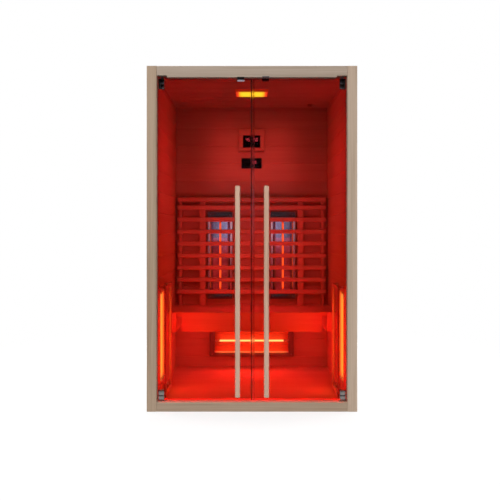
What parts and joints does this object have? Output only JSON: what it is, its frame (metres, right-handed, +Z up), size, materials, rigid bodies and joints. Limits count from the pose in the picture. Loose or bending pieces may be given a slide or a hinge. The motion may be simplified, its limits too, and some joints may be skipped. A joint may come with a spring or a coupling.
{
  "type": "infrared sauna cabin",
  "caption": "Wooden infrared sauna cabin with frameless glass swing doors, a bench below a slatted backrest, and tube heaters in its back and side walls.",
  "frame": {"origin": "on the ground under the middle of the cabin's plan, front frame to back wall", "axes": "+X to the right seen from the front, +Y from the doors to the back wall, +Z up"},
  "size_m": [1.2, 1.026, 2.0403],
  "materials": {
    "frame_wood": "planed and oiled",
    "shell_wood": "veneered board",
    "lining_wood": "planed, untreated",
    "bench_wood": "planed, untreated",
    "handle_wood": "sanded smooth",
    "heater_metal": "dark housing with a polished trough",
    "quartz_tube": "glowing quartz",
    "lamp_lens": "frosted, lit",
    "black_plastic": "smooth black",
    "painted_steel": "powder coat",
    "satin_steel": "satin",
    "clear_glass": "clear toughened glass"
  },
  "bodies": {
    "cabin": {"front_stile_left": "frame_wood", "front_stile_right": "frame_wood", "front_header": "frame_wood", "front_sill": "frame_wood", "floor_panel": "lining_wood", "roof_panel": "shell_wood", "back_wall": "shell_wood", "side_wall_left": "shell_wood", "side_wall_right": "shell_wood", "back_lining": "lining_wood", "side_lining_left": "lining_wood", "side_lining_right": "lining_wood", "ceiling_lining": "lining_wood", "bench_seat": "bench_wood", "bench_fascia": "bench_wood", "bench_bearer_left": "bench_wood", "bench_bearer_right": "bench_wood", "backrest_frame": "bench_wood", "backrest_slat_1": "bench_wood", "backrest_slat_2": "bench_wood", "backrest_slat_3": "bench_wood", "backrest_slat_4": "bench_wood", "backrest_slat_5": "bench_wood", "backrest_slat_6": "bench_wood", "backrest_slat_7": "bench_wood", "backrest_slat_8": "bench_wood", "back_heater_left_housing": "heater_metal", "back_heater_left_tube": "quartz_tube", "back_heater_right_housing": "heater_metal", "back_heater_right_tube": "quartz_tube", "bench_heater_housing": "heater_metal", "bench_heater_tube": "quartz_tube", "side_heater_left_housing": "heater_metal", "side_heater_left_tube": "quartz_tube", "side_heater_right_housing": "heater_metal", "side_heater_right_tube": "quartz_tube", "heater_guard_left": "bench_wood", "heater_guard_right": "bench_wood", "control_box": "bench_wood", "control_display": "black_plastic", "media_panel": "black_plastic", "ceiling_lamp_housing": "painted_steel", "ceiling_lamp_lens": "lamp_lens", "temperature_sensor": "black_plastic", "power_cover": "painted_steel", "power_module": "black_plastic", "pivot_pin_top_left": "satin_steel", "pivot_pin_top_right": "satin_steel", "pivot_pin_bottom_left": "satin_steel", "pivot_pin_bottom_right": "satin_steel", "door_catch_left": "black_plastic", "door_catch_right": "black_plastic"},
    "left_door": {"door_glass_left": "clear_glass", "door_handle_left": "handle_wood", "pivot_patch_top_left": "satin_steel", "pivot_patch_bottom_left": "satin_steel"},
    "right_door": {"door_glass_right": "clear_glass", "door_handle_right": "handle_wood", "pivot_patch_top_right": "satin_steel", "pivot_patch_bottom_right": "satin_steel"}
  },
  "joints": [
    {"name": "left_door_swing", "type": "hinge", "parent": "cabin", "child": "left_door", "pos_m": [-0.516, -0.466, 0.98], "axis": [0, 0, -1], "range_deg": [0, 105]},
    {"name": "right_door_swing", "type": "hinge", "parent": "cabin", "child": "right_door", "pos_m": [0.516, -0.466, 0.98], "axis": [0, 0, 1], "range_deg": [0, 105]}
  ]
}
